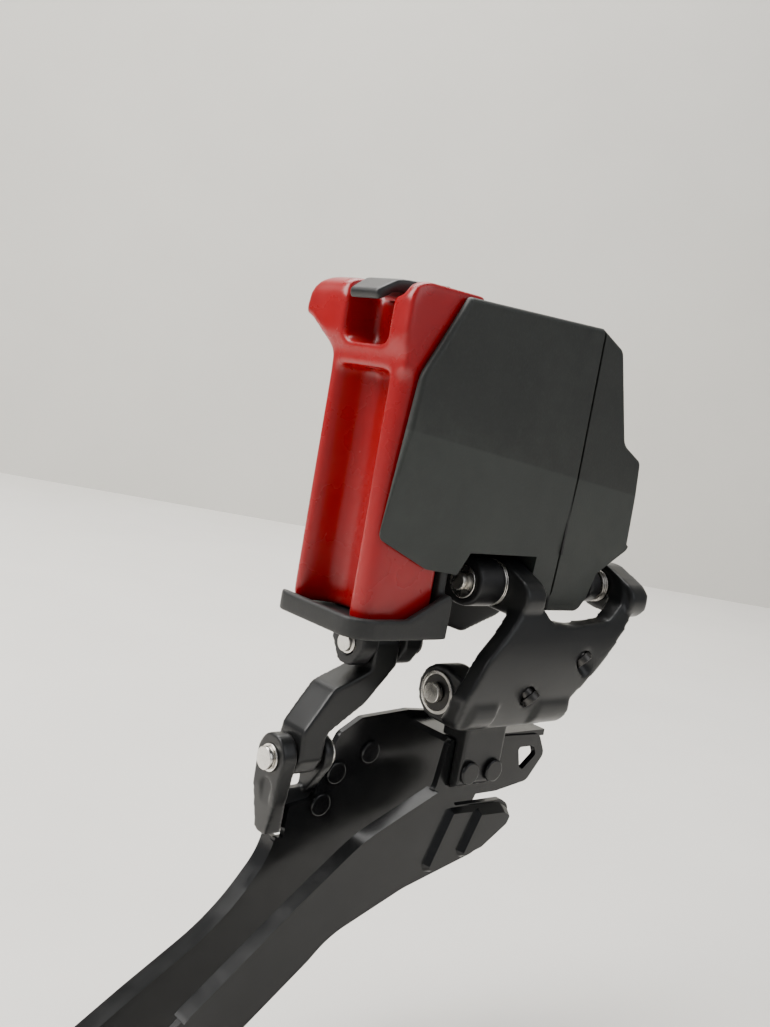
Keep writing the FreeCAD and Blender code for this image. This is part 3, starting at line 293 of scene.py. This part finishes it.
LOOKS = {
    "housing_plastic": moulded_plastic("housing_plastic", (0.0115, 0.0135, 0.012), 0.5, 2600, 0.00003,
                                       BOUNCE_LIT_FACET),
    "tray_plastic": moulded_plastic("tray_plastic", (0.010, 0.0105, 0.0105), 0.52, 2200, 0.00003),
    "latch_black": moulded_plastic("latch_black", (0.009, 0.0095, 0.010), 0.38, 3800, 0.00001),
    "red_gloss": gloss_paint("red_gloss", (0.30, 0.0008, 0.0035), 0.26, 0.1),
    "seal_rubber": soft_rubber("seal_rubber", (0.012, 0.012, 0.012)),
    "bracket_black": forged_metal("bracket_black", (0.012, 0.012, 0.013), 0.42, 0.35),
    "link_black": forged_metal("link_black", (0.0125, 0.013, 0.0135), 0.33, 0.35),
    "cage_black": forged_metal("cage_black", (0.010, 0.0105, 0.011), 0.2, 0.35, 900.0, 0.000006, 2.6),
    "steel_bright": turned_metal("steel_bright", (0.68, 0.66, 0.62), 0.24),
    "steel_dark": turned_metal("steel_dark", (0.07, 0.068, 0.066), 0.36),
    "spring_steel": turned_metal("spring_steel", (0.42, 0.40, 0.37), 0.28),
    "contact_gold": turned_metal("contact_gold", (0.83, 0.58, 0.22), 0.25),
    "board_green": circuit_resin("board_green", (0.012, 0.09, 0.035)),
    "lens_clear": clear_plastic("lens_clear", (0.75, 0.78, 0.76)),
    "motor_can": turned_metal("motor_can", (0.48, 0.47, 0.45), 0.33),
    "gear_brass": turned_metal("gear_brass", (0.62, 0.46, 0.20), 0.32),
    "bush_polymer": soft_rubber("bush_polymer", (0.05, 0.048, 0.042)),
}
SLOT_OF = {part["node"]: part["material_slot"] for part in frame["record"]["subparts"]}


# --- shaping of the carried-over nodes ---------------------------------------------------------

SMOOTH_LIMIT = math.radians(32)
BEVEL_LIMIT = math.radians(24)
MARKED_LIMIT = math.radians(20)
FLAT_LIMIT = math.radians(0.4)
WELD_REACH = 1e-6
SEAM_REACH = 0.6 * MM
EDGE_ROUND = {"cage_outer_plate": 0.3, "cage_inner_plate": 0.3, "cage_tail_spacer": 0.25}
SMALL_ROUND = 0.12


def smoothing_group():
    """Geometry nodes that shade smooth below an angle and keep sharper edges sharp."""
    group = bpy.data.node_groups.new("smooth_below_angle", "GeometryNodeTree")
    group.interface.new_socket("Geometry", in_out="INPUT", socket_type="NodeSocketGeometry")
    group.interface.new_socket("Geometry", in_out="OUTPUT", socket_type="NodeSocketGeometry")
    start = group.nodes.new("NodeGroupInput")
    end = group.nodes.new("NodeGroupOutput")
    faces = group.nodes.new("GeometryNodeSetShadeSmooth")
    edges = group.nodes.new("GeometryNodeSetShadeSmooth")
    edges.domain = "EDGE"
    angle = group.nodes.new("GeometryNodeInputMeshEdgeAngle")
    limit = group.nodes.new("FunctionNodeCompare")
    limit.data_type = "FLOAT"
    limit.operation = "LESS_EQUAL"
    limit.inputs[1].default_value = SMOOTH_LIMIT
    group.links.new(start.outputs[0], faces.inputs["Geometry"])
    group.links.new(faces.outputs[0], edges.inputs["Geometry"])
    group.links.new(angle.outputs["Unsigned Angle"], limit.inputs[0])
    group.links.new(limit.outputs[0], edges.inputs["Shade Smooth"])
    group.links.new(edges.outputs[0], end.inputs[0])
    return group


SMOOTHING = smoothing_group()


def smooth(piece):
    piece.modifiers.new("smooth", "NODES").node_group = SMOOTHING


def welded(piece):
    """Joins the vertices that lie on each other."""
    piece.modifiers.new("weld", "WELD").merge_threshold = WELD_REACH


def cleaned(piece):
    """Joins the triangles of each flat face."""
    welded(piece)
    flat = piece.modifiers.new("flat", "DECIMATE")
    flat.decimate_type = "DISSOLVE"
    flat.angle_limit = FLAT_LIMIT


def finished(piece):
    """Shades a bevelled piece smooth, with its flat faces kept flat."""
    smooth(piece)
    piece.modifiers.new("weights", "WEIGHTED_NORMAL").keep_sharp = True


def rounded(piece, width):
    """Rounds the piece's sharp edges, in millimetres, and shades it smooth."""
    cleaned(piece)
    edge = piece.modifiers.new("edge", "BEVEL")
    edge.limit_method = "ANGLE"
    edge.angle_limit = BEVEL_LIMIT
    edge.width = width * MM
    edge.segments = 3
    edge.use_clamp_overlap = True
    finished(piece)


def moulded(piece, voxel, passes):
    """Turns the piece's sharp form into one soft moulded skin; voxel in millimetres."""
    welded(piece)
    skin = piece.modifiers.new("skin", "REMESH")
    skin.mode = "VOXEL"
    skin.voxel_size = voxel * MM
    skin.use_smooth_shade = True
    soften = piece.modifiers.new("soften", "SMOOTH")
    soften.factor = 0.5
    soften.iterations = passes


def marking_group(name, face_y, seam_x):
    """Geometry nodes that mark the sharp edges of the drive-side face for a wide bevel."""
    group = bpy.data.node_groups.new(name, "GeometryNodeTree")
    group.interface.new_socket("Geometry", in_out="INPUT", socket_type="NodeSocketGeometry")
    group.interface.new_socket("Geometry", in_out="OUTPUT", socket_type="NodeSocketGeometry")
    start = group.nodes.new("NodeGroupInput")
    end = group.nodes.new("NodeGroupOutput")
    place = group.nodes.new("ShaderNodeSeparateXYZ")
    group.links.new(group.nodes.new("GeometryNodeInputPosition").outputs[0], place.inputs[0])
    angle = group.nodes.new("GeometryNodeInputMeshEdgeAngle")
    off_seam = group.nodes.new("ShaderNodeMath")
    off_seam.operation = "SUBTRACT"
    off_seam.inputs[1].default_value = seam_x
    group.links.new(place.outputs["X"], off_seam.inputs[0])
    apart = group.nodes.new("ShaderNodeMath")
    apart.operation = "ABSOLUTE"
    group.links.new(off_seam.outputs[0], apart.inputs[0])
    tests = (
        (angle.outputs["Unsigned Angle"], "GREATER_THAN", MARKED_LIMIT),
        (place.outputs["Y"], "LESS_THAN", face_y),
        (apart.outputs[0], "GREATER_THAN", SEAM_REACH),
    )
    product = None
    for value, operation, limit in tests:
        test = group.nodes.new("ShaderNodeMath")
        test.operation = operation
        test.inputs[1].default_value = limit
        group.links.new(value, test.inputs[0])
        if product is None:
            product = test.outputs[0]
            continue
        both = group.nodes.new("ShaderNodeMath")
        both.operation = "MULTIPLY"
        group.links.new(product, both.inputs[0])
        group.links.new(test.outputs[0], both.inputs[1])
        product = both.outputs[0]
    store = group.nodes.new("GeometryNodeStoreNamedAttribute")
    store.data_type = "FLOAT"
    store.domain = "EDGE"
    store.inputs["Name"].default_value = "bevel_weight_edge"
    group.links.new(start.outputs[0], store.inputs["Geometry"])
    group.links.new(product, store.inputs["Value"])
    group.links.new(store.outputs[0], end.inputs[0])
    return group


def shelled(piece, width, marks):
    """Wide rounds on the marked edges, in millimetres; the others stay sharp."""
    cleaned(piece)
    piece.modifiers.new("marks", "NODES").node_group = marks
    edge = piece.modifiers.new("edge", "BEVEL")
    edge.limit_method = "WEIGHT"
    edge.width = width * MM
    edge.segments = 5
    edge.use_clamp_overlap = False
    finished(piece)


def dress(piece, look):
    piece.data.materials.clear()
    piece.data.materials.append(LOOKS[look].material)


MOULDED = {
    "battery_block": (0.4, 34), "battery_latch": (0.25, 16), "battery_tray": (0.3, 9), "outer_link": (0.4, 4),
    "inner_link": (0.35, 4), "base_bracket": (0.35, 2), "cage_pivot_bracket": (0.3, 4),
    "cage_hinge_bracket": (0.3, 4), "function_button": (0.2, 6),
}
DRIVE_FACE_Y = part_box("main_housing")[0].y
SEAM_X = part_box("main_housing")[1].x
DRIVE_FACE_MARKS = marking_group("drive_face_edges", DRIVE_FACE_Y + 0.5 * MM, SEAM_X)
SHELL_ROUND = 0.9

for name, node in NODES.items():
    if "custom_normal" in node.data.attributes:
        node.data.attributes.remove(node.data.attributes["custom_normal"])
    dress(node, SLOT_OF[name])
    if name in MOULDED:
        moulded(node, *MOULDED[name])
    elif name in ("main_housing", "front_cover"):
        shelled(node, SHELL_ROUND, DRIVE_FACE_MARKS)
    else:
        rounded(node, EDGE_ROUND.get(name, SMALL_ROUND))


# --- turned pieces that are finer than their CAD nodes ------------------------------------------

STEPS = 64


def turned_piece(name, node, body, slot_name, profile, dark_inside):
    """A piece lathed about X through its node's middle; profile holds (x, radius) in millimetres
    from the node's rear end. Within the radius dark_inside it is dull."""
    low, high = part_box(node)
    middle = (low + high) / 2
    vertices = []
    faces = []
    for x, radius in profile:
        for step in range(STEPS):
            turn = 2 * math.pi * step / STEPS
            vertices.append((low.x + x * MM, middle.y + radius * MM * math.cos(turn),
                             middle.z + radius * MM * math.sin(turn)))
    rings = len(profile)
    for ring in range(rings):
        following = (ring + 1) % rings
        for step in range(STEPS):
            after = (step + 1) % STEPS
            faces.append((ring * STEPS + step, ring * STEPS + after, following * STEPS + after,
                          following * STEPS + step))
    mesh = bpy.data.meshes.new(name)
    mesh.from_pydata(vertices, [], faces)
    mesh.materials.append(LOOKS[slot_name].material)
    mesh.materials.append(LOOKS["steel_dark"].material)
    for index, polygon in enumerate(mesh.polygons):
        ring = index // STEPS
        widest = max(profile[ring][1], profile[(ring + 1) % rings][1])
        polygon.material_index = 1 if widest <= dark_inside else 0
    piece = bpy.data.objects.new(name, mesh)
    bpy.context.scene.collection.objects.link(piece)
    smooth(piece)
    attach(piece, body)
    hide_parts(node)
    return piece


def retaining_ring():
    """The lower outer pin's ring: a bright rim round a dull recessed web."""
    low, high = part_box("lower_outer_ring")
    thick = (high.x - low.x) / MM
    outer = (high.y - low.y) / 2 / MM
    rim = outer - 0.55
    web = thick * 0.45
    bore = 1.42
    profile = [
        (web, bore), (web, rim - 0.08), (0.06, rim), (0.0, rim + 0.06),
        (0.0, outer - 0.1), (0.08, outer), (thick, outer), (thick, bore),
    ]
    turned_piece("lower_outer_retainer", "lower_outer_ring", "cage", "steel_bright", profile, rim - 0.05)


retaining_ring()


# --- floor, backdrop, lights and camera --------------------------------------------------------

CAMERA_AZIMUTH = math.radians(-42)
CAMERA_ELEVATION = math.radians(6)
CAMERA_ROLL = math.radians(10)
CAMERA_PLACE = Vector((-156.3, -151.0, 19.2)) * MM
SENSOR = 36.0
FOCAL_TO_HEIGHT = 1.0711
ROOM_DISTANCE = 0.89
ROOM_HALF_WIDTH = 4
ROOM_DEPTH = 6
ROOM_HEIGHT = 3
FLOOR_GAP = 0.5 * MM


def direction(azimuth, elevation):
    """The unit vector from the object towards a viewer there."""
    level = math.cos(elevation)
    return Vector((math.sin(azimuth) * level, -math.cos(azimuth) * level, math.sin(elevation)))


def camera_axes():
    azimuth, elevation, roll = CAMERA_AZIMUTH, CAMERA_ELEVATION, CAMERA_ROLL
    back = direction(azimuth, elevation)
    level = Vector((math.cos(azimuth), math.sin(azimuth), 0))
    upright = back.cross(level)
    right = level * math.cos(roll) + upright * math.sin(roll)
    up = upright * math.cos(roll) - level * math.sin(roll)
    return right, up, back


def make_camera():
    data = bpy.data.cameras.new("camera")
    data.sensor_fit = "VERTICAL"
    data.sensor_height = SENSOR
    data.lens = SENSOR * FOCAL_TO_HEIGHT
    data.clip_start = 0.01
    data.clip_end = 20
    camera = bpy.data.objects.new("camera", data)
    bpy.context.scene.collection.objects.link(camera)
    right, up, back = camera_axes()
    turn = Matrix((right, up, back)).transposed().to_4x4()
    camera.matrix_world = Matrix.Translation(CAMERA_PLACE) @ turn
    bpy.context.scene.camera = camera


def room_paint(name, colour, rough, grain):
    look = Shader(name)
    cloud = look.between(look.noise(grain, 4), 0, 1)
    look.colour(look.mixed(cloud, shade(colour, 0.97), shade(colour, 1.02)))
    look.rough(look.between(look.noise(grain * 3, 2), rough - 0.05, rough + 0.05))
    look.bump(look.noise(grain * 12, 3), 0.1, 0.0002)
    return look.material


def flat_panel(name, corners, material):
    mesh = bpy.data.meshes.new(name)
    mesh.from_pydata([tuple(corner) for corner in corners], [], [tuple(range(len(corners)))])
    mesh.materials.append(material)
    panel = bpy.data.objects.new(name, mesh)
    bpy.context.scene.collection.objects.link(panel)


def make_room():
    """A white table top under the object and a pale wall behind it."""
    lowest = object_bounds()[0][2] - FLOOR_GAP
    across = Vector((math.cos(CAMERA_AZIMUTH), math.sin(CAMERA_AZIMUTH), 0))
    away = Vector((-math.sin(CAMERA_AZIMUTH), math.cos(CAMERA_AZIMUTH), 0))
    eye = Vector((CAMERA_PLACE.x, CAMERA_PLACE.y, lowest))
    foot = eye + away * ROOM_DISTANCE
    side = across * ROOM_HALF_WIDTH
    front = foot - away * ROOM_DEPTH
    table = room_paint("table", (0.74, 0.72, 0.68), 0.5, 12)
    wall = room_paint("wall", (0.66, 0.645, 0.60), 0.8, 9)
    flat_panel("table", [front - side, front + side, foot + side, foot - side], table)
    rise = Vector((0, 0, ROOM_HEIGHT))
    flat_panel("wall", [foot - side, foot + side, foot + side + rise, foot - side + rise], wall)


def area_light(name, azimuth, elevation, distance, size, energy, colour, aim):
    """A square soft light that looks at a point of the object."""
    data = bpy.data.lights.new(name, "AREA")
    data.shape = "SQUARE"
    data.size = size
    data.energy = energy
    data.color = colour
    light = bpy.data.objects.new(name, data)
    bpy.context.scene.collection.objects.link(light)
    towards = direction(math.radians(azimuth), math.radians(elevation))
    light.location = aim + towards * distance
    light.rotation_euler = towards.to_track_quat("Z", "Y").to_euler()


def make_light():
    world = bpy.data.worlds.new("studio")
    bpy.context.scene.world = world
    world.use_nodes = True
    background = world.node_tree.nodes["Background"]
    background.inputs["Color"].default_value = (0.93, 0.95, 1.0, 1)
    background.inputs["Strength"].default_value = 0.34
    middle = Vector((-20, -18, -25)) * MM
    area_light("window", -118, 42, 0.9, 0.6, 11.0, (1.0, 0.98, 0.95), middle)
    area_light("fill", 20, 30, 1.0, 0.7, 2.2, (0.97, 0.98, 1.0), middle)
    area_light("top", 160, 70, 0.9, 0.8, 14.0, (1, 0.99, 0.97), middle)


make_camera()
make_room()
make_light()
